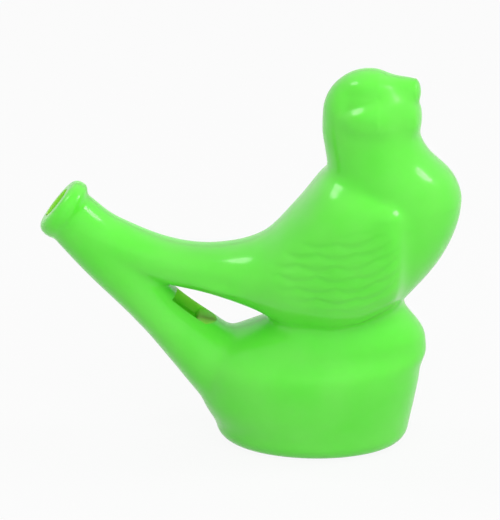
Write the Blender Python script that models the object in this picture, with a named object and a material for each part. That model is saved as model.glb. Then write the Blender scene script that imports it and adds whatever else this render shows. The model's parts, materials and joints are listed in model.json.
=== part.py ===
"""Bird water whistle: two moulded half shells bonded on the middle plane, and the windway block between them.

Metres, +Z up. +X is the way the beak points, and the shells meet on the plane Y = 0.
The origin is on the plane of the foot, under the middle of the whole object.
"""

import math
from collections import namedtuple

import bmesh
import bpy
from mathutils import Matrix, Vector

MM = 0.001

# A rib is one oval cross-section of a lofted form, in millimetres: its centre, its height and width,
# and how far its upright leans towards +X. A lean of 90 degrees lays the rib flat, its height along X.
# A power of 2 makes it an ellipse, and a higher one gives it fuller corners.
Rib = namedtuple("Rib", "x z tall wide lean power", defaults=(2.0,))

# Walls and the stepped seam between the shells
WALL = 1.8
SEAM_GAP = 0.3
STEP_REACH = 0.9
STEP_CLEARANCE = 0.3

# Whole length from the mouthpiece's lip to the breast
WHISTLE_LENGTH = 74.7

# Base, an oval drum with a rounded foot, a flared wall and a domed top that carries the bird
FOOT_LENGTH = 34.8
FOOT_WIDTH = 24.0
FOOT_ROUND = 3.5
RIM_LENGTH = 40.4
RIM_WIDTH = 28.6
RIM_HEIGHT = 18.2
PERCH_LENGTH = 23.0
PERCH_WIDTH = 17.4
PERCH_HEIGHT = 25.6

# Main sizes of the bird and of the mouthpiece behind it
BODY_WIDTH = 28.4
BODY_HEIGHT = 29.0
TAIL_WIDTH = 11.4
TAIL_HEIGHT = 7.2
BREAST_WIDTH = 22.6
BREAST_LENGTH = 24.6
HEAD_WIDTH = 16.2
HEAD_LENGTH = 16.2
CROWN_ROUND = 7.7
WING_ROUND = 4.9
LIP_WIDTH = 12.4
LIP_HEIGHT = 11.2
LIP_THICKNESS = 1.0
LIP_ROUND = 0.8
MOUTH_WIDTH = 11.2
MOUTH_HEIGHT = 10.6
LEG_WIDTH = 12.8
LEG_HEIGHT = 8.6

# Beak, jaw and eyes
JAW_WIDTH = 13.4
JAW_HEIGHT = 8.6
JAW_ROUND = 2.5
BEAK_WIDTH = 6.4
BEAK_HEIGHT = 5.0
BEAK_ROUND = 2.0
EYE_LENGTH = 7.0
EYE_HEIGHT = 5.0
EYE_DEPTH = 5.4
EYE_PROUD = 0.7

# Window in the top of the leg, with its ramped edge, and the windway block before it in the bore
WINDOW_START = 0.9
WINDOW_LENGTH = 6.0
WINDOW_WIDTH = 7.0
LABIUM_EDGE = 0.5
LABIUM_RAMP = 5.0
WINDWAY_HEIGHT = 1.2
BLOCK_LENGTH = 10.5
BLOCK_CLEARANCE = 0.3

# Places along X and heights over the perch are written for a whistle 74.7 mm long and grow with its length.
UNIT = WHISTLE_LENGTH / 74.7

# Base ribs, from the middle of the foot. Those between two named ones take shares of their difference.
FOOT = Rib(0, FOOT_ROUND, FOOT_LENGTH, FOOT_WIDTH, 90)
RIM = Rib(0.3 * UNIT, RIM_HEIGHT, RIM_LENGTH, RIM_WIDTH, 90)
PERCH = Rib(5.2 * UNIT, PERCH_HEIGHT, PERCH_LENGTH, PERCH_WIDTH, 90)
PERCH_END = Rib(4.9 * UNIT, 1.17 * PERCH_HEIGHT, 0.83 * PERCH_LENGTH, 0.86 * PERCH_WIDTH, 90)


def between(low, high, x, rise, lengthen, widen):
    return Rib(x * UNIT, low.z + rise * (high.z - low.z), low.tall + lengthen * (high.tall - low.tall),
               low.wide + widen * (high.wide - low.wide), 90)


WAIST = between(FOOT, RIM, -0.8, 0.31, 0.61, 0.43)
DRUM = between(FOOT, RIM, -0.6, 0.72, 0.89, 0.74)
RIM_TOP = between(RIM, PERCH, 1.6, 0.20, 0.18, 0.125)
SHOULDER = between(RIM, PERCH, 3.2, 0.34, 0.38, 0.34)
DOME = between(RIM, PERCH, 5.0, 0.6, 0.70, 0.73)


def bird(x, up, tall, wide, lean, power=2.0):
    """A rib of the bird, its height measured up from the perch."""
    return Rib(x * UNIT, PERCH_HEIGHT + up * UNIT, tall, wide, lean, power)


# Mouthpiece
LIP = bird(-44.8, 17.6, LIP_HEIGHT, LIP_WIDTH, 39)
MOUTH = bird(-42.85, 15.5, MOUTH_HEIGHT, MOUTH_WIDTH, 38)

# Tail, back and wings, one form from inside the mouthpiece to the front of the wings
TAIL_START = bird(-41.9, 15.4, 0.77 * MOUTH_HEIGHT, 0.86 * MOUTH_WIDTH, 36)
TAIL_FORK = bird(-36.9, 11.6, 0.81 * MOUTH_HEIGHT, MOUTH_WIDTH, 32)
TAIL = bird(-26.6, 8.0, TAIL_HEIGHT, TAIL_WIDTH, 11, 2.3)
TAIL_ROOT = bird(-17.8, 6.6, 1.125 * TAIL_HEIGHT, 1.14 * TAIL_WIDTH, 5, 2.3)
RUMP = bird(-9.5, 6.4, 0.455 * BODY_HEIGHT, 0.67 * BODY_WIDTH, 5)
BACK = bird(-4.1, 8.0, 0.76 * BODY_HEIGHT, 0.845 * BODY_WIDTH, 5)
SHOULDERS = bird(1.8, 11.0, BODY_HEIGHT, 0.944 * BODY_WIDTH, 2, 2.5)
WING_TOP = bird(5.2, 11.8, 0.966 * BODY_HEIGHT, 0.993 * BODY_WIDTH, 2, 3.2)
WINGS = bird(9.5, 12.4, 0.897 * BODY_HEIGHT, BODY_WIDTH, 2, 3.8)
WING_FRONT = bird(13.4, 13.2, 0.78 * BODY_HEIGHT, BODY_WIDTH, 2, 4.0)

# Breast, neck and head, one form from the belly to the crown
BELLY = bird(10.2, -1.4, 0.313 * BREAST_LENGTH, 0.53 * BREAST_WIDTH, 77)
BREAST_LOW = bird(10.5, 3.1, 0.54 * BREAST_LENGTH, 0.84 * BREAST_WIDTH, 89)
BREAST_MID = bird(12.5, 10.5, 0.854 * BREAST_LENGTH, 0.99 * BREAST_WIDTH, 90)
BREAST = bird(13.8, 18.9, BREAST_LENGTH, BREAST_WIDTH, 90)
NECK_LOW = bird(13.7, 24.4, 0.907 * BREAST_LENGTH, 0.91 * BREAST_WIDTH, 90)
NECK = bird(11.2, 29.0, 1.13 * HEAD_LENGTH, 1.11 * HEAD_WIDTH, 90)
THROAT = bird(9.9, 32.8, 1.043 * HEAD_LENGTH, 1.025 * HEAD_WIDTH, 90)
FACE = bird(9.6, 36.2, HEAD_LENGTH, HEAD_WIDTH, 90)

# Jaw and upper beak, both from inside the head, and the middle of the eyes
JAW_ROOT = bird(9.0, 35.2, 0.8 * JAW_HEIGHT, 0.9 * JAW_WIDTH, 0)
JAW = bird(14.4, 35.2, JAW_HEIGHT, JAW_WIDTH, 0)
JAW_FRONT = bird(16.4, 35.4, 0.93 * JAW_HEIGHT, 0.82 * JAW_WIDTH, 0)
BEAK_ROOT = bird(9.0, 38.8, 1.4 * BEAK_HEIGHT, 1.75 * BEAK_WIDTH, 0)
BEAK = bird(13.4, 39.8, 1.2 * BEAK_HEIGHT, 1.4 * BEAK_WIDTH, 0)
BEAK_TIP = bird(17.0, 40.2, BEAK_HEIGHT, BEAK_WIDTH, 0)
EYES = bird(9.2, 36.4, EYE_HEIGHT, HEAD_WIDTH + 2 * EYE_PROUD, 0)

# Blowing leg, from the mouthpiece down into the side of the base
LEG_FORK = bird(-36.2, 8.9, 1.22 * LEG_HEIGHT, 0.92 * LEG_WIDTH, 45)
LEG = bird(-28.15, -0.35, LEG_HEIGHT, LEG_WIDTH, 47)
LEG_ROOT = Rib(-19.85 * UNIT, 0.953 * RIM_HEIGHT, 1.326 * LEG_HEIGHT, 1.17 * LEG_WIDTH, 46)
LEG_END = Rib(-13.6 * UNIT, 0.637 * RIM_HEIGHT, 1.674 * LEG_HEIGHT, 1.11 * LEG_WIDTH, 45)

SIDES = 28
REACH = 60.0


def clear_scene():
    for obj in list(bpy.data.objects):
        bpy.data.objects.remove(obj)


def smooth_ribs(ribs, rings):
    """The ribs with rings - 1 more between each two, on a smooth curve through all of them."""
    spans = [math.hypot(b.x - a.x, b.z - a.z) for a, b in zip(ribs, ribs[1:])]
    slopes = []
    for i in range(len(ribs)):
        low, high = max(0, i - 1), min(len(ribs) - 1, i + 1)
        reach = sum(spans[low:high])
        slopes.append([(b - a) / reach for a, b in zip(ribs[low], ribs[high])])
    made = [ribs[0]]
    for i, span in enumerate(spans):
        for step in range(1, rings + 1):
            t = step / rings
            start, start_slope = 2 * t**3 - 3 * t**2 + 1, (t**3 - 2 * t**2 + t) * span
            end, end_slope = 3 * t**2 - 2 * t**3, (t**3 - t**2) * span
            made.append(Rib(*(
                start * a + start_slope * m + end * b + end_slope * n
                for a, m, b, n in zip(ribs[i], slopes[i], ribs[i + 1], slopes[i + 1])
            )))
    return made


def upright(rib):
    """The unit vector along the rib's height."""
    lean = math.radians(rib.lean)
    return Vector((math.sin(lean), 0, math.cos(lean)))


def forward(rib):
    """The unit vector through the rib, square to it."""
    lean = math.radians(rib.lean)
    return Vector((math.cos(lean), 0, -math.sin(lean)))


def centre(rib):
    return Vector((rib.x, 0, rib.z))


def round_end(rib, way, length, rings, tall_power=2.0, wide_power=2.0):
    """Ribs that close a round end of that length past the rib. A higher power makes it blunter."""
    made = []
    for step in range(1, rings + 1):
        share = math.sin(math.radians(84) * step / rings)
        at = centre(rib) + way * length * share
        made.append(rib._replace(x=at.x, z=at.z, tall=rib.tall * (1 - share**tall_power) ** (1 / tall_power),
                                 wide=rib.wide * (1 - share**wide_power) ** (1 / wide_power)))
    return made


def edge_round(rib, way, radius, rings):
    """Ribs that round the end's edge with that radius past the rib, and leave the rest of the end flat."""
    made = []
    for step in range(1, rings + 1):
        angle = math.radians(90) * step / rings
        at = centre(rib) + way * radius * math.sin(angle)
        drop = 2 * radius * (1 - math.cos(angle))
        made.append(rib._replace(x=at.x, z=at.z, tall=rib.tall - drop, wide=rib.wide - drop))
    return made


def thinner(rib, inset):
    return rib._replace(tall=rib.tall - 2 * inset, wide=rib.wide - 2 * inset)


def ring(shape, rib):
    """Adds one oval ring of vertices, in place, and returns its edges."""
    verts = bmesh.ops.create_circle(shape, segments=SIDES, radius=1)["verts"]
    for vert in verts:
        vert.co = [math.copysign(abs(value) ** (2 / rib.power), value) for value in vert.co]
    place = (
        Matrix.Translation(centre(rib) * MM)
        @ Matrix.Rotation(math.radians(rib.lean - 90), 4, "Y")
        @ Matrix.Diagonal((rib.tall * MM / 2, rib.wide * MM / 2, 1, 1))
    )
    bmesh.ops.transform(shape, matrix=place, verts=verts)
    return list({edge for vert in verts for edge in vert.link_edges})


def new_object(name, shape):
    bmesh.ops.recalc_face_normals(shape, faces=shape.faces[:])
    mesh = bpy.data.meshes.new(name)
    shape.to_mesh(mesh)
    shape.free()
    obj = bpy.data.objects.new(name, mesh)
    bpy.context.scene.collection.objects.link(obj)
    return obj


def loft(name, ribs, inset=0.0):
    """A closed solid through oval ribs, with its whole surface moved in by inset."""
    shape = bmesh.new()
    loops = [ring(shape, rib) for rib in ribs]
    for low, high in zip(loops, loops[1:]):
        bmesh.ops.bridge_loops(shape, edges=low + high)
    for end in (loops[0], loops[-1]):
        bmesh.ops.contextual_create(shape, geom=end)
    bmesh.ops.recalc_face_normals(shape, faces=shape.faces[:])
    shape.normal_update()
    moves = [vert.normal * vert.calc_shell_factor() * inset * MM for vert in shape.verts]
    for vert, move in zip(shape.verts, moves):
        vert.co -= move
    return new_object(name, shape)


def prism(name, outline, low, high):
    """A solid with that outline in X and Z, in millimetres, between two values of Y."""
    shape = bmesh.new()
    verts = [shape.verts.new((point.x * MM, low * MM, point.z * MM)) for point in outline]
    face = shape.faces.new(verts)
    pulled = bmesh.ops.extrude_face_region(shape, geom=[face])
    moved = [item for item in pulled["geom"] if isinstance(item, bmesh.types.BMVert)]
    bmesh.ops.translate(shape, verts=moved, vec=(0, (high - low) * MM, 0))
    return new_object(name, shape)


def slab(name, low, high):
    """A block larger than the whole object in X and Z, between two values of Y."""
    corners = ((-REACH, -REACH), (REACH, -REACH), (REACH, 2 * REACH), (-REACH, 2 * REACH))
    return prism(name, [Vector((x, 0, z)) for x, z in corners], low, high)


def combine(target, tools, operation):
    """Applies one Boolean with all the tools to target, and removes the tools."""
    group = bpy.data.collections.new("tools")
    for tool in tools:
        group.objects.link(tool)
    cut = target.modifiers.new(operation.lower(), "BOOLEAN")
    cut.operation = operation
    cut.solver = "EXACT"
    cut.operand_type = "COLLECTION"
    cut.collection = group
    graph = bpy.context.evaluated_depsgraph_get()
    mesh = bpy.data.meshes.new_from_object(target.evaluated_get(graph))
    target.modifiers.remove(cut)
    target.data = mesh
    for tool in tools:
        bpy.data.objects.remove(tool)
    bpy.data.collections.remove(group)
    return target


def united(name, solids):
    first, *others = solids
    combine(first, others, "UNION")
    first.name = name
    return first


def base_ribs(rings):
    foot = edge_round(FOOT, Vector((0, 0, -1)), FOOT_ROUND, 4)
    wall = [FOOT, WAIST, DRUM, RIM, RIM_TOP, SHOULDER, DOME, PERCH, PERCH_END]
    return foot[::-1] + smooth_ribs(wall, rings)


def body_ribs(first, rings):
    """The wings' front is round from the side and blunt from above."""
    back = [TAIL, TAIL_ROOT, RUMP, BACK, SHOULDERS, WING_TOP, WINGS, WING_FRONT]
    front = round_end(WING_FRONT, forward(WING_FRONT), WING_ROUND, 5, 1.8, 4.0)
    return smooth_ribs(first + back, rings) + front


def head_ribs(rings):
    ribs = smooth_ribs([BELLY, BREAST_LOW, BREAST_MID, BREAST, NECK_LOW, NECK, THROAT, FACE], rings)
    return ribs + round_end(FACE, Vector((0, 0, 1)), CROWN_ROUND, 5)


def leg_ribs(rings):
    return smooth_ribs([MOUTH, LEG_FORK, LEG, LEG_ROOT, LEG_END], rings)


def lip_ribs():
    """The lip's flange, up to the rib where the mouthpiece starts."""
    at = centre(LIP) + forward(LIP) * LIP_THICKNESS
    return smooth_ribs([LIP, LIP._replace(x=at.x, z=at.z), MOUTH], 2)[:-1]


def outer_form(inset=0.0):
    """The whole outside of the whistle, moved in by inset. Lip, jaw and beak keep square ends inside."""
    leg = lip_ribs() + leg_ribs(3)
    jaw = smooth_ribs([JAW_ROOT, JAW, JAW_FRONT], 2)
    beak = smooth_ribs([BEAK_ROOT, BEAK, BEAK_TIP], 2)
    if not inset:
        leg = edge_round(LIP, -forward(LIP), LIP_ROUND, 3)[::-1] + leg
        jaw += round_end(JAW_FRONT, forward(JAW_FRONT), JAW_ROUND, 4)
        beak += round_end(BEAK_TIP, forward(BEAK_TIP), BEAK_ROUND, 4)
    return united("form", [
        loft("base", base_ribs(2), inset),
        loft("body", body_ribs([TAIL_START, TAIL_FORK], 3), inset),
        loft("head", head_ribs(3), inset),
        loft("leg", leg, inset),
        loft("jaw", jaw, inset),
        loft("beak", beak, inset),
    ])


def hollow():
    """The air inside: the chamber of base, body and head, and the bore of the leg up to the mouthpiece."""
    inner_leg = [thinner(rib, WALL) for rib in leg_ribs(2)]
    at = centre(LIP) - forward(LIP) * 3 * LIP_ROUND
    bore = [inner_leg[0]._replace(x=at.x, z=at.z), inner_leg[0]._replace(x=LIP.x, z=LIP.z)] + inner_leg
    return united("hollow", [
        loft("base_hollow", base_ribs(1), WALL),
        loft("body_hollow", body_ribs([], 2), WALL),
        loft("head_hollow", head_ribs(2), WALL),
        loft("bore", bore),
    ])


def top(rib):
    return centre(rib) + upright(rib) * rib.tall / 2


def leg_point(along, depth):
    """A point on the middle plane: so far down the leg from LEG, and so deep under the top of that rib."""
    return top(LEG) - upright(LEG) * depth + forward(LEG) * along


def window():
    """The opening in the leg's top, with the ramp that leaves a thin edge on the side towards the base."""
    edge = WINDOW_START + WINDOW_LENGTH
    slope = top(LEG_ROOT) - top(LEG)
    rise = slope.dot(upright(LEG)) / slope.dot(forward(LEG))
    outline = [
        leg_point(WINDOW_START, -REACH / 20),
        leg_point(WINDOW_START, WALL + 1.0),
        leg_point(edge, WALL + 1.0),
        leg_point(edge, WALL - edge * rise - LABIUM_EDGE),
        leg_point(edge + LABIUM_RAMP, -(edge + LABIUM_RAMP) * rise),
        leg_point(edge + LABIUM_RAMP, -REACH / 20),
    ]
    return prism("window", outline, -WINDOW_WIDTH / 2, WINDOW_WIDTH / 2)


def windway_block():
    """The part of the bore under the windway, from the mouthpiece's fork to the window."""
    end = WINDOW_START
    start = end - BLOCK_LENGTH
    ribs = [thinner(rib, WALL + BLOCK_CLEARANCE) for rib in leg_ribs(4)]
    block = loft("windway_block", ribs)
    top = WALL + WINDWAY_HEIGHT
    outline = [leg_point(start, top), leg_point(end, top), leg_point(end, REACH), leg_point(start, REACH)]
    return combine(block, [prism("block_ends", outline, -REACH, REACH)], "INTERSECT")


def eye(side):
    """A soft oval that stands out of the head's side."""
    across = side * (EYES.wide - EYE_DEPTH) / 2
    place = Matrix.Translation((centre(EYES) + Vector((0, across, 0))) * MM)
    size = Matrix.Diagonal((EYE_LENGTH * MM / 2, EYE_DEPTH * MM / 2, EYE_HEIGHT * MM / 2, 1))
    shape = bmesh.new()
    bmesh.ops.create_icosphere(shape, subdivisions=2, radius=1, matrix=place @ size)
    return new_object("eye", shape)


def copy_of(obj):
    twin = obj.copy()
    twin.data = obj.data.copy()
    bpy.context.scene.collection.objects.link(twin)
    return twin


def seam_cutter(side):
    """What is taken off the closed form to leave one shell: side -1 keeps the tongue, side 1 the rebate."""
    gap = SEAM_GAP / 2
    if side < 0:
        tongue = outer_form((WALL + STEP_CLEARANCE) / 2)
        combine(tongue, [slab("tongue_end", -REACH, STEP_REACH)], "INTERSECT")
        return combine(slab("seam", -gap, REACH), [tongue], "DIFFERENCE")
    rebate = outer_form((WALL - STEP_CLEARANCE) / 2)
    combine(rebate, [slab("rebate_end", -REACH, STEP_REACH + SEAM_GAP)], "INTERSECT")
    return combine(slab("seam", -REACH, gap), [rebate], "UNION")


def plastic(name):
    material = bpy.data.materials.new(name)
    material.use_nodes = True
    shader = material.node_tree.nodes["Principled BSDF"]
    shader.inputs["Base Color"].default_value = (0.16, 0.76, 0.1, 1)
    shader.inputs["Roughness"].default_value = 0.12
    shader.inputs["Transmission Weight"].default_value = 0.35
    return material


def main():
    clear_scene()
    right = outer_form()
    combine(right, [eye(-1), eye(1)], "UNION")
    combine(right, [hollow(), window()], "DIFFERENCE")
    left = copy_of(right)
    right.name = "right_shell"
    left.name = "left_shell"
    combine(right, [seam_cutter(-1)], "DIFFERENCE")
    combine(left, [seam_cutter(1)], "DIFFERENCE")
    block = windway_block()
    pieces = (right, left, block)
    ends = [corner[0] for piece in pieces for corner in piece.bound_box]
    to_middle = Matrix.Translation((-(min(ends) + max(ends)) / 2, 0, 0))
    for piece in pieces:
        piece.data.transform(to_middle)
        piece.data.shade_smooth()
        piece.data.set_sharp_from_angle(angle=math.radians(35))
        piece.data.materials.clear()
        piece.data.materials.append(plastic(piece.name + "_plastic"))


main()
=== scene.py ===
# %% [markdown]
# # A bird whistle in glossy, translucent green plastic
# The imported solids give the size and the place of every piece. They are lofts of 28 sides, which is enough to
# measure and to simulate, but a glossy plastic shows every facet. So this script loads the solids as a frame,
# makes the two shells again as fine, softly blended skins in the same place, and lights them as in a white tent.

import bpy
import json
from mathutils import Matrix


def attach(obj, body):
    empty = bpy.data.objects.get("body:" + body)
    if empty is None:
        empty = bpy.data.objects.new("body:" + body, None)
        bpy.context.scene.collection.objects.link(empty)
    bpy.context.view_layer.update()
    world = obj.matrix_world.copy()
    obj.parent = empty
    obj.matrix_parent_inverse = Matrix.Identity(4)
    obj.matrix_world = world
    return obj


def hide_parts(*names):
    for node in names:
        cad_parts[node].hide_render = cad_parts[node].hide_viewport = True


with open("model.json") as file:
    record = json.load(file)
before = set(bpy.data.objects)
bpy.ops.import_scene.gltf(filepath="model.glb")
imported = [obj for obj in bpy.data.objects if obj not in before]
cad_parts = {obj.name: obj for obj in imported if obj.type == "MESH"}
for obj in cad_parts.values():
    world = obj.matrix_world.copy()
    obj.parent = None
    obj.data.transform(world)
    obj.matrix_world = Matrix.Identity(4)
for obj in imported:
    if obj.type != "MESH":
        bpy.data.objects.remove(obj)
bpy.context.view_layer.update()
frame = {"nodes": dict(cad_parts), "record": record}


# %% [markdown]
# ## The view
# The photo looks at the bird's right side from a little above. Straight lines in it hardly converge, so the
# camera stands far off with a long lens. A camera can be turned by hand until it fits, but here its direction is
# written as two angles, which can be read and changed one at a time. The picture is taken to be 500 by 520 pixels,
# with the lens fitted across its width.

# %% Camera
import json
import math
from collections import namedtuple

import bmesh
import bpy
from mathutils import Matrix, Vector

MM = 0.001
AZIMUTH, ELEVATION = math.radians(4), math.radians(20)
DISTANCE, WIDTH_IN_VIEW = 600 * MM, 88.7 * MM
AIM = Vector((0.00004, 0, 0.0338))
SENSOR = 36  # the lens is given in millimetres for a sensor of this width
NEAREST, FARTHEST = 0.01, 20

back = Vector((
    math.sin(AZIMUTH) * math.cos(ELEVATION),
    -math.cos(AZIMUTH) * math.cos(ELEVATION),
    math.sin(ELEVATION),
))
lens = bpy.data.cameras.new("photo_camera")
lens.sensor_fit = "HORIZONTAL"
lens.sensor_width = SENSOR
lens.lens = SENSOR * DISTANCE / WIDTH_IN_VIEW
lens.clip_start, lens.clip_end = NEAREST, FARTHEST
camera = bpy.data.objects.new("photo_camera", lens)
camera.location = AIM + back * DISTANCE
camera.rotation_euler = back.to_track_quat("Z", "Y").to_euler()
bpy.context.scene.collection.objects.link(camera)
bpy.context.scene.camera = camera
print("lens in mm:", round(lens.lens, 1))

# %% [markdown]
# ## Ribs and lofts
# A moulded bird has no straight edge to start from. Sculpting would give its form, but no width in it could be
# changed later by a number. Makers of such moulds think in cross-sections, so the forms are lofts: ovals set along
# a path and bridged into a skin. Each oval, a rib, has a place, a height, a width and a lean in millimetres and
# degrees, measured from the middle of the foot. A power of 2 makes it an ellipse, and a higher one makes it
# squarer. More ribs are worked out between the written ones on a smooth curve, so that few numbers give a fine skin.

# %% Ribs on a smooth curve
Rib = namedtuple("Rib", "x z tall wide lean power", defaults=(2.0,))
FOOT_MIDDLE = Vector((frame["record"]["mounts"][0]["pos_m"][0], 0, 0))


def smooth_ribs(ribs, rings=8):
    """The ribs with rings - 1 more between each two, on a smooth curve through all of them."""
    spans = [math.hypot(b.x - a.x, b.z - a.z) for a, b in zip(ribs, ribs[1:])]
    slopes = []
    for i in range(len(ribs)):
        low, high = max(0, i - 1), min(len(ribs) - 1, i + 1)
        slopes.append([(b - a) / sum(spans[low:high]) for a, b in zip(ribs[low], ribs[high])])
    made = [ribs[0]]
    for i, span in enumerate(spans):
        for step in range(1, rings + 1):
            t = step / rings
            weights = (2 * t**3 - 3 * t**2 + 1, (t**3 - 2 * t**2 + t) * span,
                       3 * t**2 - 2 * t**3, (t**3 - t**2) * span)
            parts = zip(ribs[i], slopes[i], ribs[i + 1], slopes[i + 1])
            made.append(Rib(*(sum(w * p for w, p in zip(weights, part)) for part in parts)))
    return made


print("middle of the foot, along the bird, in mm:", round(FOOT_MIDDLE.x / MM, 2))

# %% Lofts
SIDES = 72


def add_loft(shape, ribs, inset=0.0):
    """Bridges one ring of vertices to the next, closes both ends and moves the whole skin in by inset."""
    loops, made = [], []
    for rib in ribs:
        verts = bmesh.ops.create_circle(shape, segments=SIDES, radius=1)["verts"]
        for vert in verts:
            vert.co = [math.copysign(abs(value) ** (2 / rib.power), value) for value in vert.co]
        place = (
            Matrix.Translation(FOOT_MIDDLE + Vector((rib.x, 0, rib.z)) * MM)
            @ Matrix.Rotation(math.radians(rib.lean - 90), 4, "Y")
            @ Matrix.Diagonal((rib.tall * MM / 2, rib.wide * MM / 2, 1, 1))
        )
        bmesh.ops.transform(shape, matrix=place, verts=verts)
        loops.append(list(dict.fromkeys(edge for vert in verts for edge in vert.link_edges)))
        made += verts
    for low, high in zip(loops, loops[1:]):
        bmesh.ops.bridge_loops(shape, edges=low + high)
    for end in (loops[0], loops[-1]):
        bmesh.ops.contextual_create(shape, geom=end)
    faces = list(dict.fromkeys(face for vert in made for face in vert.link_faces))
    bmesh.ops.recalc_face_normals(shape, faces=faces)
    shape.normal_update()
    moves = [vert.normal * vert.calc_shell_factor() * inset * MM for vert in made]
    for vert, move in zip(made, moves):
        vert.co -= move
    print("loft:", len(ribs), "rings,", len(faces), "faces")


# %% [markdown]
# ## The base
# The base is the water chamber: an oval tub on a flat foot with a rounded edge, which widens to a soft rim and
# closes to a dome that carries the bird. A squashed lathe form comes close, but the front and the back of the tub
# don't slope alike. So it is a loft of level ribs, with a lean of 90, from the foot up. Around the rim the ribs lie
# close together, because there the wall turns over within a few millimetres.

# %% The base's ribs
DOWN = Vector((0, 0, -1))
FOOT_ROUND = 3.5
FOOT = Rib(0, FOOT_ROUND, 34.8, 24.0, 90)
BASE = [
    FOOT, Rib(-0.8, 8.0, 38.2, 26.4, 90), Rib(-0.6, 12.4, 39.4, 27.8, 90), Rib(-0.5, 14.8, 39.8, 28.0, 90),
    Rib(-0.1, 16.0, 39.8, 27.4, 90), Rib(0.2, 17.0, 40.0, 26.2, 90), Rib(0.5, 17.8, 39.8, 24.6, 90),
    Rib(1.0, 18.6, 38.6, 23.2, 90), Rib(1.8, 19.6, 36.8, 22.2, 90), Rib(3.4, 21.0, 33.2, 21.2, 90),
    Rib(5.0, 22.8, 27.8, 19.2, 90), Rib(5.2, 25.6, 23.0, 16.6, 90), Rib(4.9, 30.0, 19.0, 14.4, 90),
]


def past(rib, way, length, shrink):
    """The rib moved by length and made smaller all round by shrink."""
    return rib._replace(x=rib.x + way.x * length, z=rib.z + way.z * length,
                        tall=rib.tall - shrink, wide=rib.wide - shrink * (rib.wide / rib.tall))


def edge_round(rib, way, radius, rings=6):
    """Ribs that round only the edge of an end."""
    angles = [math.radians(90) * step / rings for step in range(1, rings + 1)]
    return [past(rib, way, radius * math.sin(a), 2 * radius * (1 - math.cos(a))) for a in angles]


base_ribs = edge_round(FOOT, DOWN, FOOT_ROUND)[::-1] + smooth_ribs(BASE)
shape = bmesh.new()
add_loft(shape, base_ribs)

# %% [markdown]
# ## Tail and wings
# The tail is a narrow bar from the mouthpiece to the body, where it widens into the folded wings. Both are one loft
# along the bird, so that the back runs on without a break. The front of the wings is round from the side and blunt
# from above, which a plain round end can't be, so there the height and the width shrink at different rates. The
# skin is grown by 0.1 mm, to make up for what the smoothing takes away later.

# %% The tail's and the wings' ribs
SWELL = -0.1
ALMOST_CLOSED = math.radians(86)  # a round end stops just before its tip, so that its last ring has a size
WING_ROUND, SIDE_POWER, TOP_POWER = 4.1, 1.8, 2.6
TAIL = [Rib(-41.9, 41.0, 8.2, 9.6, 36), Rib(-36.9, 37.2, 8.6, 11.2, 32), Rib(-26.6, 33.6, 7.2, 11.4, 11, 2.3)]
WINGS = [
    Rib(-17.8, 32.2, 8.1, 13.0, 5, 2.3), Rib(-9.5, 32.0, 13.2, 19.0, 5), Rib(-4.1, 33.6, 22.0, 24.0, 5),
    Rib(1.8, 36.6, 29.0, 26.8, 2, 2.4), Rib(5.2, 37.4, 28.0, 28.2, 2, 2.9), Rib(9.5, 37.9, 26.0, 28.4, 2, 3.2),
    Rib(13.4, 38.5, 22.2, 28.4, 2, 3.2),
]


def through(rib):
    """The unit vector through the rib, square to it."""
    return Vector((math.cos(math.radians(rib.lean)), 0, -math.sin(math.radians(rib.lean))))


def wing_end(rib, way, length, rings=14):
    """Ribs past the front of the wings: round from the side, blunt from above."""
    made = []
    for step in range(1, rings + 1):
        t = math.sin(ALMOST_CLOSED * step / rings)
        made.append(rib._replace(
            x=rib.x + way.x * length * t, z=rib.z + way.z * length * t,
            tall=rib.tall * (1 - t**SIDE_POWER) ** (1 / SIDE_POWER),
            wide=rib.wide * (1 - t**TOP_POWER) ** (1 / TOP_POWER),
        ))
    return made


wing_tip = wing_end(WINGS[-1], through(WINGS[-1]), WING_ROUND)
add_loft(shape, smooth_ribs(TAIL + WINGS) + wing_tip, SWELL)

# %% [markdown]
# ## Breast and head
# The front of the bird stands upright: a narrow perch on the dome, a full breast, a neck and a round head. The
# wings' loft can't turn that corner without folding, so this is a second loft that runs upwards through it. A dome
# closes the crown. Its power is a little under 2, which makes it a shade more pointed than a ball.

# %% The breast's and the head's ribs
UP = Vector((0, 0, 1))
CROWN_ROUND, CROWN_POWER = 7.7, 1.95
HEAD = [
    Rib(10.2, 24.2, 7.7, 12.0, 77), Rib(10.5, 28.7, 13.3, 19.0, 89), Rib(12.5, 36.1, 21.0, 22.4, 90),
    Rib(13.8, 44.5, 24.6, 22.6, 90), Rib(13.7, 50.0, 22.3, 20.6, 90), Rib(11.2, 54.6, 18.3, 18.0, 90),
    Rib(9.9, 58.4, 16.9, 16.6, 90), Rib(9.6, 61.8, 16.2, 16.2, 90),
]


def round_end(rib, way, length, power=2.0, rings=14):
    """Ribs that close a round end of that length past the rib. A higher power makes it blunter."""
    steps = [math.sin(ALMOST_CLOSED * step / rings) for step in range(1, rings + 1)]
    return [past(rib, way, length * t, rib.tall * (1 - (1 - t**power) ** (1 / power))) for t in steps]


head_ribs = smooth_ribs(HEAD) + round_end(HEAD[-1], UP, CROWN_ROUND, CROWN_POWER)
add_loft(shape, head_ribs)

# %% [markdown]
# ## The blowing leg
# The breath goes down this tube from the mouthpiece to the base. It is narrowest near the window and widens where it
# meets the base. A curve with a bevel gives a tube too, but always a round one of one kind, while ribs let it be
# wider than tall. The tail's lower edge is a flat loft of its own, as one oval can't have a crease below.

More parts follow.
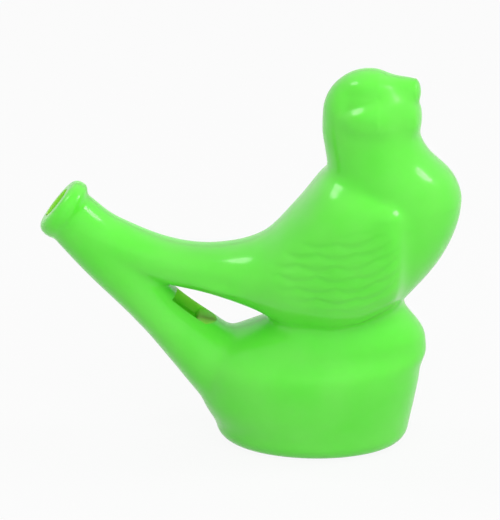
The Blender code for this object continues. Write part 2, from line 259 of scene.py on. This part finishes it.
# %% The leg's ribs and the tail's lower edge
MOUTH = Rib(-42.85, 41.1, 9.7, 10.6, 38)
LEG = [
    MOUTH, Rib(-36.2, 34.5, 10.5, 11.8, 45), Rib(-28.15, 25.25, 8.6, 12.8, 47),
    Rib(-19.85, 17.35, 11.4, 15.0, 46), Rib(-13.6, 11.6, 14.4, 14.2, 45),
]
TAIL_EDGE = [
    Rib(-29.0, 33.3, 2.2, 9.6, 13), Rib(-21.0, 31.2, 2.6, 12.6, 8), Rib(-13.0, 30.2, 3.0, 17.0, 4),
    Rib(-5.0, 30.0, 2.4, 18.0, 0),
]
add_loft(shape, smooth_ribs(LEG), SWELL)
add_loft(shape, smooth_ribs(TAIL_EDGE))

# %% [markdown]
# ## Jaw, cheeks, eyes and the wings' bends
# These are swellings on the larger forms, not pieces. Jaw and cheeks are short lofts towards the beak. Eyes and the
# bends of the wings are squashed balls on both sides, most of which lie inside the body, so that only a low bump
# is left outside.

# %% The swellings
JAW = [
    Rib(6.5, 60.8, 5.6, 12.0, 0), Rib(11.5, 60.8, 8.4, 15.0, 0), Rib(14.4, 60.8, 8.6, 13.4, 0),
    Rib(16.4, 61.0, 8.0, 11.0, 0),
]
CHEEK = [Rib(8.0, 61.7, 8.2, 13.4, 0), Rib(12.5, 61.9, 8.4, 13.2, 0), Rib(15.6, 62.2, 8.2, 11.6, 0)]
JAW_ROUND, CHEEK_ROUND, BLUNT = 2.5, 2.6, 2.2
EYE, EYE_SIZE = Vector((9.8, 5.7, 61.7)), Vector((5.0, 3.2, 3.6))
WING_BEND, WING_BEND_SIZE = Vector((12.5, 10.6, 44.4)), Vector((4.2, 3.2, 4.0))

add_loft(shape, smooth_ribs(JAW) + round_end(JAW[-1], through(JAW[-1]), JAW_ROUND, BLUNT))
add_loft(shape, smooth_ribs(CHEEK) + round_end(CHEEK[-1], through(CHEEK[-1]), CHEEK_ROUND, BLUNT))
for side in (-1, 1):
    for spot, size in ((EYE, EYE_SIZE), (WING_BEND, WING_BEND_SIZE)):
        place = Matrix.Translation(FOOT_MIDDLE + Vector((spot.x, side * spot.y, spot.z)) * MM)
        bmesh.ops.create_uvsphere(shape, u_segments=48, v_segments=24, radius=1,
                                  matrix=place @ Matrix.Diagonal((*(size * MM), 1)))
print("overlapping forms:", len(shape.faces), "faces")

# %% [markdown]
# ## One skin
# So far the forms only overlap. A voxel remesh turns them into one skin, as it keeps nothing but the outside, and
# smoothing then lets them flow into each other, as a mould maker's fillets do. A Boolean union would keep the sharp
# lines where they cross.

# %% Fuse the forms
SKIN_VOXEL = 0.36 * MM
FORM_ROUNDS = 14


def new_piece(name, shape):
    """Turns a bmesh into an object at the origin."""
    mesh = bpy.data.meshes.new(name)
    shape.to_mesh(mesh)
    shape.free()
    piece = bpy.data.objects.new(name, mesh)
    bpy.context.scene.collection.objects.link(piece)
    return piece


def apply(piece, kind, **settings):
    """Adds one modifier, sets it and keeps its result as the piece's own mesh."""
    modifier = piece.modifiers.new(kind.lower(), kind)
    for name, value in settings.items():
        setattr(modifier, name, value)
    graph = bpy.context.evaluated_depsgraph_get()
    mesh = bpy.data.meshes.new_from_object(piece.evaluated_get(graph))
    piece.modifiers.clear()
    piece.data = mesh
    return piece


def fuse(piece, voxel, rounds):
    """One skin around everything in the piece, then smoothed."""
    apply(piece, "REMESH", mode="VOXEL", voxel_size=voxel, use_smooth_shade=True)
    return apply(piece, "SMOOTH", factor=0.5, iterations=rounds)


form = fuse(new_piece("outer_form", shape), SKIN_VOXEL, FORM_ROUNDS)
print("outer form:", len(form.data.polygons), "faces")

# %% [markdown]
# ## Softer zones
# The real fillets aren't equally soft. They are widest at the shoulder and at the bend of the wings, and tight at
# the rim of the base. More smoothing of the whole skin would wash out the tight ones, so each zone is smoothed for
# as many rounds as it needs.

# %% Smooth the zones
FAR = 100
SOFT_ZONES = {  # rounds, then the limits along the bird and in height, in millimetres from the middle of the foot
    "face": (12, (13.5, FAR), (54, FAR)),
    "rim": (6, (-FAR, 10), (14, 21.5)),
    "heel": (30, (-FAR, 0), (13, 22)),
    "shoulder": (40, (-FAR, 9), (45, 53)),
    "wings' bend": (60, (10.5, FAR), (25, 46)),
}


def open_mesh(piece):
    """A bmesh of the piece's mesh, to work on."""
    shape = bmesh.new()
    shape.from_mesh(piece.data)
    return shape


def close_mesh(shape, piece):
    """Writes the bmesh back."""
    shape.to_mesh(piece.data)
    shape.free()


def zone(shape, along, height):
    """The vertices between two limits along the bird and two in height."""
    behind, ahead = (FOOT_MIDDLE.x + limit * MM for limit in along)
    low, high = (limit * MM for limit in height)
    return [v for v in shape.verts if behind < v.co.x < ahead and low < v.co.z < high]


def soften(shape, verts, rounds):
    """Smooths these vertices so many times."""
    for step in range(rounds):
        bmesh.ops.smooth_vert(shape, verts=verts, factor=0.5, use_axis_x=True, use_axis_y=True, use_axis_z=True)


shape = open_mesh(form)
zones = [(name, zone(shape, along, height), rounds) for name, (rounds, along, height) in SOFT_ZONES.items()]
for name, verts, rounds in zones:
    soften(shape, verts, rounds)
    print(name, "smoothed:", len(verts), "vertices,", rounds, "rounds")
close_mesh(shape, form)

# %% [markdown]
# ## Lip and beak
# The mouthpiece ends in a rounded lip that the teeth hold, and the beak is a short, wide wedge. Both are small and
# would be lost in the smoothing so far. So they are added after it and fused with less, and only the root of the
# beak is smoothed again, as there it runs into the cheeks.

# %% Add the lip and the beak
LIP = Rib(-44.4, 42.87, 11.2, 12.4, 39)
LIP_THICK, LIP_ROUND = 1.0, 1.5
BEAK = [Rib(9.0, 64.2, 7.6, 11.0, 0), Rib(13.4, 65.0, 6.8, 9.2, 0), Rib(16.6, 65.6, 5.4, 6.6, 0)]
BEAK_ROUND = 2.0
SMALL_ROUNDS, ROOT_ROUNDS = 10, 16

shape = open_mesh(form)
flange = past(LIP, through(LIP), LIP_THICK, 0)
add_loft(shape, edge_round(LIP, -through(LIP), LIP_ROUND)[::-1] + smooth_ribs([LIP, flange, MOUTH, LEG[1]]))
add_loft(shape, smooth_ribs(BEAK) + round_end(BEAK[-1], through(BEAK[-1]), BEAK_ROUND, BLUNT))
old = form
form = fuse(new_piece("outer_form", shape), SKIN_VOXEL, SMALL_ROUNDS)
bpy.data.objects.remove(old)
shape = open_mesh(form)
soften(shape, zone(shape, (12, 17.4), (57, FAR)), ROOT_ROUNDS)
close_mesh(shape, form)
print("with the small forms:", len(form.data.polygons), "faces")

# %% [markdown]
# ## Feathers
# The wings have rows of shallow scallops, which were cut into the mould. A bump in the material could draw them, but
# the mesh would stay smooth. So the vertices move in along their normals, by a depth worked out from their place on
# the wing's side. Every second row is shifted by half a feather, as roof tiles are.

# %% Carve the feathers
PATCH_X, PATCH_Z = 4.6, 37.4  # the middle of the feathered patch, and half its length and height
HALF_LENGTH, HALF_HEIGHT = 12.6, 9.6
ROW_HEIGHT, FEATHER_WIDTH, SCALLOP = 2.1, 6.8, 0.36
GROOVE_DEPTH, GROOVE_WIDTH = 0.34, 0.62


def ease(value):
    """0 below 0, 1 above 1 and a soft rise between."""
    value = min(1.0, max(0.0, value))
    return value * value * (3 - 2 * value)


def feather_groove(x, z):
    """How deep the feathers are cut at a point of the wing's side, in millimetres."""
    u, v = x - PATCH_X, z - PATCH_Z
    below_shoulder = ease((42.4 + 0.3 * x - z) / 3)
    inside = (1 - (u / HALF_LENGTH) ** 2 - (v / HALF_HEIGHT) ** 2) * below_shoulder
    if inside <= 0:
        return 0.0
    row = (v - 0.06 * u - 0.04 * max(0, u - 1.5) ** 2) / ROW_HEIGHT  # the rows climb towards the front
    k = math.floor(row + 0.5)
    wave = 0.5 - abs(math.sin(math.pi * (u / FEATHER_WIDTH + 0.5 * (k % 2))))
    off = (row - k - SCALLOP * wave) * ROW_HEIGHT
    return GROOVE_DEPTH * math.exp(-(off / GROOVE_WIDTH) ** 2) * min(1.0, 2.0 * inside)


shape = open_mesh(form)
shape.normal_update()
carved = 0
for vert in shape.verts:
    at = (vert.co - FOOT_MIDDLE) / MM
    on_side = ease(abs(vert.normal.y) * 3 - 1.5)
    depth = feather_groove(at.x, at.z)
    vert.co -= vert.normal * depth * on_side * MM
    vert.co.z = max(vert.co.z, 0.0)  # the smoothing can leave the foot a hair under the table
    carved += depth > 0
close_mesh(shape, form)
print("feathers:", carved, "vertices")

# %% [markdown]
# ## Brow
# Above the eye the side of the crown lies back, along a line from the eye to the beak. A crease cut with an edge
# loop needs clean loops, which a voxel skin doesn't have. So the vertices above the line move towards the middle
# plane, with a soft start and end, and the beak's root is smoothed once more.

# %% Set the brow back
BROW_DEPTH, LESS_IN_FRONT = 0.9, 0.25
CROWN_FROM = 60  # the height above which vertices belong to the head's upper part
BROW_ROUNDS = 24


def brow(x, z):
    """How far the side of the crown lies back above the eye and the line from it to the beak, in millimetres."""
    line = 63.4 + 0.36 * min(x - 8, 4) + 0.18 * max(0, x - 12)
    along = ease((x - 3.5) / 3) * (1 - ease((x - 15.5) / 3))
    depth = BROW_DEPTH - LESS_IN_FRONT * ease((x - 11) / 3)
    return depth * ease((z - line) / 1.4) * (1 - ease((z - 65.8) / 2.8)) * along


shape = open_mesh(form)
deepest = 0.0
for vert in shape.verts:
    at = (vert.co - FOOT_MIDDLE) / MM
    if at.z > CROWN_FROM:
        back_by = brow(at.x, at.z) * min(1, abs(at.y) / 3)
        vert.co.y -= math.copysign(back_by, at.y) * MM
        deepest = max(deepest, back_by)
soften(shape, zone(shape, (11.5, 17.6), (61, FAR)), BROW_ROUNDS)
close_mesh(shape, form)
print("brow: up to", round(deepest, 2), "mm")

# %% [markdown]
# ## The hollow
# The whistle is hollow and its walls let light through, so the inside counts: it is what makes the plastic glow.
# A Solidify modifier would fold where forms meet. So the same lofts, moved in by the wall's 1.8 mm, give the air
# inside, which is taken away. Only the leg's bore reaches out, at the mouthpiece. The Boolean also carries the
# second finish to the inner faces: the core of the mould isn't polished, and that finish's colour is painted paler
# and yellower, as painted light that comes through the wall.

# %% The air inside
WALL = 1.8
BORE_TALL, BORE_WIDE = 6.0, 6.6
PAST_THE_LIP = 2.1
AIR_VOXEL, AIR_ROUNDS = 0.55 * MM, 4
# The second finish is unpolished, and its colour is painted paler and yellower, as painted light from the wall.
finishes = [bpy.data.materials.new(name) for name in ("polished_green_plastic", "unpolished_plastic_painted_glow")]
POLISHED, UNPOLISHED_PAINTED_GLOW = 0, 1


def finish(piece, index):
    """Gives a piece both finishes, and one of them to all its faces. A Boolean carries them along."""
    piece.data.materials.clear()
    for each in finishes:
        piece.data.materials.append(each)
    piece.data.polygons.foreach_set("material_index", [index] * len(piece.data.polygons))
    return piece


finish(form, POLISHED)
shape = bmesh.new()
add_loft(shape, base_ribs, WALL)
add_loft(shape, smooth_ribs(WINGS) + wing_tip, WALL)
add_loft(shape, head_ribs, WALL)
bore = [rib._replace(tall=rib.tall - 2 * WALL, wide=rib.wide - 2 * WALL) for rib in LEG]
bore[0] = MOUTH._replace(tall=BORE_TALL, wide=BORE_WIDE)
out = Vector((LIP.x, 0, LIP.z)) - through(LIP) * PAST_THE_LIP
add_loft(shape, [bore[0]._replace(x=out.x, z=out.z), bore[0]._replace(x=LIP.x, z=LIP.z)] + smooth_ribs(bore))
air = finish(fuse(new_piece("air", shape), AIR_VOXEL, AIR_ROUNDS), UNPOLISHED_PAINTED_GLOW)
print("air inside:", len(air.data.polygons), "faces")
apply(form, "BOOLEAN", operation="DIFFERENCE", solver="MANIFOLD", object=air)
bpy.data.objects.remove(air)

# %% [markdown]
# ## The window
# Air from the windway crosses this opening and meets a thin edge, and that makes the sound. It is a rectangular cut
# in the top of the leg, with a ramp behind the edge. Knife cuts in the skin would leave ragged faces. So the cut's
# profile is drawn as six corners on the middle plane, pulled across the leg and taken away in one go.

# %% Cut the window
WINDOW_START, WINDOW_LENGTH, WINDOW_WIDTH = 0.9, 6.0, 7.0
EDGE_THICK, RAMP_LENGTH = 0.5, 2.7
CUT_ABOVE, CUT_BELOW = 3.0, WALL + 1
narrow, wider = LEG[2], LEG[3]


def upward(rib):
    """The unit vector from a rib's middle to its top."""
    return Vector((-through(rib).z, 0, through(rib).x))


def top(rib):
    """The highest point of a rib on the middle plane."""
    return Vector((rib.x, 0, rib.z)) + upward(rib) * rib.tall / 2


def leg_point(along, depth):
    """A point on the middle plane: so far down the leg from its narrowest rib, and so deep under that rib's top."""
    return top(narrow) - upward(narrow) * depth + through(narrow) * along


edge = top(wider) - top(narrow)
rise = math.tan(math.atan2(edge.z, edge.x) - math.atan2(through(narrow).z, through(narrow).x))
edge_at = WINDOW_START + WINDOW_LENGTH
ramp_end = edge_at + RAMP_LENGTH
corners = [
    (WINDOW_START, -CUT_ABOVE), (WINDOW_START, CUT_BELOW), (edge_at, CUT_BELOW),
    (edge_at, WALL - edge_at * rise - EDGE_THICK), (ramp_end, -ramp_end * rise), (ramp_end, -CUT_ABOVE),
]
shape = bmesh.new()
near = Vector((0, -WINDOW_WIDTH / 2 * MM, 0))
profile = shape.faces.new([shape.verts.new(FOOT_MIDDLE + leg_point(*corner) * MM + near) for corner in corners])
pulled = bmesh.ops.extrude_face_region(shape, geom=[profile])["geom"]
far_verts = [part for part in pulled if isinstance(part, bmesh.types.BMVert)]
bmesh.ops.translate(shape, verts=far_verts, vec=(0, WINDOW_WIDTH * MM, 0))
bmesh.ops.recalc_face_normals(shape, faces=shape.faces[:])
cutter = finish(new_piece("window", shape), UNPOLISHED_PAINTED_GLOW)
apply(form, "BOOLEAN", operation="DIFFERENCE", solver="MANIFOLD", object=cutter)
bpy.data.objects.remove(cutter)
print("the leg's top turns up by", round(math.degrees(math.atan(rise)), 1), "degrees behind the window")
print("hollow form:", len(form.data.polygons), "faces")

# %% [markdown]
# ## Two halves
# Such a toy is moulded in two halves that are bonded on the middle plane. Each half is cut from the hollow form with
# a slab, so that the seam runs where the CAD has it. A bisect would leave the cut open, while a Boolean closes it
# with faces that have the unpolished finish, whose paler, yellower colour is painted light.

# %% Cut the halves
SEAM = 0.004 * MM
SLAB, SLAB_HEIGHT = 0.2, 0.03
SHARP = math.radians(40)


def half(name, side):
    """A copy of the hollow form, cut to the side of the middle plane that the sign of side gives."""
    piece = form.copy()
    piece.data = form.data.copy()
    piece.name = name
    bpy.context.scene.collection.objects.link(piece)
    shape = bmesh.new()
    bmesh.ops.create_cube(shape, size=SLAB)
    bmesh.ops.translate(shape, verts=shape.verts[:], vec=(0, side * (SLAB / 2 + SEAM), SLAB_HEIGHT))
    slab = finish(new_piece("slab", shape), UNPOLISHED_PAINTED_GLOW)
    apply(piece, "BOOLEAN", operation="INTERSECT", solver="MANIFOLD", object=slab)
    bpy.data.objects.remove(slab)
    piece.data.shade_smooth()
    piece.data.set_sharp_from_angle(angle=SHARP)
    return piece


right = half("right_shell_skin", -1)
left = half("left_shell_skin", 1)
bpy.data.objects.remove(form)
for piece, node in ((right, "right_shell"), (left, "left_shell")):
    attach(piece, "root")
    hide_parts(node)
    print(piece.name, len(piece.data.polygons), "faces")

# %% [markdown]
# ## Plastic
# The real plastic is translucent and coloured through, perhaps a polypropylene, which has an IOR of about 1.49.
# Clear glass with a coloured volume would show more of the inner walls, but turns dark where walls lie behind each
# other. Most of the look here is scattered light, so a Principled shader with subsurface scattering carries it.
# One flat colour would look like paint. So clouds of tint stand for walls of uneven thickness, scuffs vary the
# gloss, and long ripples bend the reflections as the sink marks of a moulding do.

# %% Colours and nodes


def linear(code):
    """A colour written as sRGB hex, as the linear values that the shader takes."""
    parts = [int(code[i:i + 2], 16) / 255 for i in (1, 3, 5)]
    return [v / 12.92 if v <= 0.04045 else ((v + 0.055) / 1.055) ** 2.4 for v in parts] + [1.0]


def node(tree, kind, sockets=None, **settings):
    """Adds a node, or takes one that is there, with its settings and its sockets.

    A socket gets a value, or a pair of a node and the name of its output.
    """
    made = kind if isinstance(kind, bpy.types.Node) else tree.nodes.new(kind)
    for name, value in settings.items():
        setattr(made, name, value)
    for name, value in (sockets or {}).items():
        if isinstance(value, tuple) and isinstance(value[0], bpy.types.Node):
            tree.links.new(value[0].outputs[value[1]], made.inputs[name])
        else:
            made.inputs[name].default_value = value
    return made


def nodes_of(made):
    """The node tree of a material and its Principled shader."""
    made.use_nodes = True
    return made.node_tree, made.node_tree.nodes["Principled BSDF"]


print("mid green in linear values:", [round(v, 3) for v in linear("#6af644")])

# %% The two finishes
Look = namedtuple("Look", "low high fine rough level coat share reach clear")
LOOKS = (
    # The outside of the mould is polished. A thin smooth layer gives small white glints over a soft, deep green.
    Look(low="#6af644", high="#76f852", fine=0.36, rough=0.46, level=0.08, coat=0.55,
         share=0.5, reach=1.8, clear=0.12),
    # The core isn't polished, so it has no glints. Its colour is painted paler and yellower than the outside, as
    # painted light that comes through the wall.
    Look(low="#8cfc48", high="#98fe54", fine=0.55, rough=0.65, level=0.1, coat=0.0,
         share=1.0, reach=8.0, clear=0.0),
)
CLOUD, RIPPLE, RIPPLE_HEIGHT = 9, 5, 0.25
SCUFF = 1.6  # real scuffs are under 0.1 mm wide, which is too fine to show, so they are drawn coarser
NOISE_LOW, NOISE_HIGH = 0.3, 0.7  # nearly all of a noise texture's values lie between these

for made, look in zip(finishes, LOOKS):
    tree, shader = nodes_of(made)
    place = node(tree, "ShaderNodeTexCoord")
    clouds = node(tree, "ShaderNodeTexNoise", {
        "Vector": (place, "Object"), "Scale": 1 / (CLOUD * MM), "Detail": 2.0, "Roughness": 0.4,
    })
    tint = node(tree, "ShaderNodeValToRGB", {"Fac": (clouds, "Fac")})
    first, last = tint.color_ramp.elements
    first.position, first.color = NOISE_LOW, linear(look.low)
    last.position, last.color = NOISE_HIGH, linear(look.high)
    scuffs = node(tree, "ShaderNodeTexNoise", {
        "Vector": (place, "Object"), "Scale": 1 / (SCUFF * MM), "Detail": 3.0,
    })
    gloss = node(tree, "ShaderNodeMapRange", {
        "Value": (scuffs, "Fac"), "From Min": NOISE_LOW, "From Max": NOISE_HIGH,
        "To Min": look.fine, "To Max": look.rough,
    })
    ripple = node(tree, "ShaderNodeTexNoise", {
        "Vector": (place, "Object"), "Scale": 1 / (RIPPLE * MM), "Detail": 1.0,
    })
    waves = node(tree, "ShaderNodeBump", {
        "Height": (ripple, "Fac"), "Strength": 0.15, "Distance": RIPPLE_HEIGHT * MM,
    })
    node(tree, shader, {
        "Base Color": (tint, "Color"),
        "Roughness": (gloss, "Result"),
        "Normal": (waves, "Normal"),
        "IOR": 1.49,
        "Specular IOR Level": look.level,  # low, as the coat gives the glints
        "Coat Weight": look.coat,
        "Coat Roughness": 0.16,
        "Subsurface Weight": look.share,  # how much of the light goes in, and how far, with green going farthest
        "Subsurface Radius": (0.6, 1.0, 0.5),
        "Subsurface Scale": look.reach * MM,
        "Transmission Weight": look.clear,  # what passes straight through
    })
    print(made.name, "roughness", look.fine, "to", look.rough, "reach in mm", look.reach)

# %% Give the block its finish
# The block takes the unpolished finish, whose paler, yellower colour is painted light.
block = frame["nodes"]["windway_block"]
block.data.materials.clear()
block.data.materials.append(finishes[UNPOLISHED_PAINTED_GLOW])
for piece in (right, left):
    inner = sum(polygon.material_index for polygon in piece.data.polygons)
    print(piece.name, "has", inner, "unpolished faces of", len(piece.data.polygons))

# %% [markdown]
# ## The white tent
# Glossy things are photographed in a tent of white cloth, which lights them softly from all sides and is the white
# that they mirror. Many large lamps could stand for it, but a white world does the same with less noise. Light Path
# tells rays that see the world, straight or in a reflection, from rays that only bring light. The first see full
# white, and the second half as much, so that the colours come out as they are written.

# %% World
LIGHT_GIVEN, WHITE_SEEN = 0.5, 1.0


def seen(tree):
    """A node that is 1 for rays that show the background, straight, mirrored or through the plastic."""
    path = node(tree, "ShaderNodeLightPath")
    mirrored = node(tree, "ShaderNodeMath", {0: (path, "Is Camera Ray"), 1: (path, "Is Glossy Ray")},
                    operation="MAXIMUM")
    return node(tree, "ShaderNodeMath", {0: (mirrored, "Value"), 1: (path, "Is Transmission Ray")},
                operation="MAXIMUM")


scene = bpy.context.scene
scene.view_settings.view_transform = "Standard"
world = bpy.data.worlds.new("white_tent")
world.use_nodes = True
tree = world.node_tree
strength = node(tree, "ShaderNodeMapRange", {
    "Value": (seen(tree), "Value"), "To Min": LIGHT_GIVEN, "To Max": WHITE_SEEN,
})
node(tree, tree.nodes["Background"], {"Color": (1, 1, 1, 1), "Strength": (strength, "Result")})
scene.world = world
print("world:", LIGHT_GIVEN, "as light and", WHITE_SEEN, "as background")

# %% [markdown]
# ## Lamps
# The photo has small, sharp-edged glints on the left and the right of each round form, so two small round lamps hang
# behind the bird on either side. A large panel in front lifts the side that faces the camera. Its own reflection
# would be a pale patch on the plastic, which the photo hasn't got, so glossy rays don't see it.

# %% Hang the lamps
LAMPS_AIM = Vector((0, 0, 0.035))


def lamp(name, direction, distance, across, radiance):
    """A round lamp that looks at the bird. Its power is worked out from how bright its disc is."""
    light = bpy.data.lights.new(name, "AREA")
    light.shape = "DISK"
    light.size = across
    light.energy = radiance * math.pi * math.pi * (across / 2) ** 2
    piece = bpy.data.objects.new(name, light)
    way = Vector(direction).normalized()
    piece.location = LAMPS_AIM + way * distance
    piece.rotation_euler = way.to_track_quat("Z", "Y").to_euler()
    scene.collection.objects.link(piece)
    print(name, round(light.energy, 2), "W")
    return piece


lamp("left_lamp", (-0.46, 0.18, 0.83), distance=0.6, across=0.18, radiance=8.0)
lamp("right_lamp", (0.70, 0.10, 0.65), distance=0.6, across=0.18, radiance=12.0)
panel = lamp("front_panel", (0.25, -0.75, 0.6), distance=0.9, across=0.9, radiance=2.2)
panel.visible_glossy = False

# %% [markdown]
# ## The floor
# The whistle stands on matt white paper, which shows in the photo as plain white. A white that bright would light
# the bird from below too strongly. So the paper is a pale grey to the light, and the same rays as before see it
# glow. A small share of the grey stays in what they see, which keeps the shadow.

# %% Lay the paper
FLOOR_HALF, FLOOR_HEIGHT = 3, -0.2 * MM  # just under the foot, so that the two faces don't fight
GLOW_SHARE = 0.92
shape = bmesh.new()
bmesh.ops.create_grid(shape, x_segments=1, y_segments=1, size=FLOOR_HALF)
bmesh.ops.translate(shape, verts=shape.verts[:], vec=(0, 0, FLOOR_HEIGHT))
floor = new_piece("floor", shape)
paper = bpy.data.materials.new("matt_white_paper")
tree, shader = nodes_of(paper)
node(tree, shader, {"Base Color": linear("#c8c8c8"), "Roughness": 0.9})
glow = node(tree, "ShaderNodeEmission")
share = node(tree, "ShaderNodeMath", {0: (seen(tree), "Value"), 1: GLOW_SHARE}, operation="MULTIPLY")
both = node(tree, "ShaderNodeMixShader", {0: (share, "Value"), 1: (shader, "BSDF"), 2: (glow, "Emission")})
node(tree, tree.nodes["Material Output"], {"Surface": (both, "Shader")})
floor.data.materials.append(paper)
print("floor at", FLOOR_HEIGHT / MM, "mm")
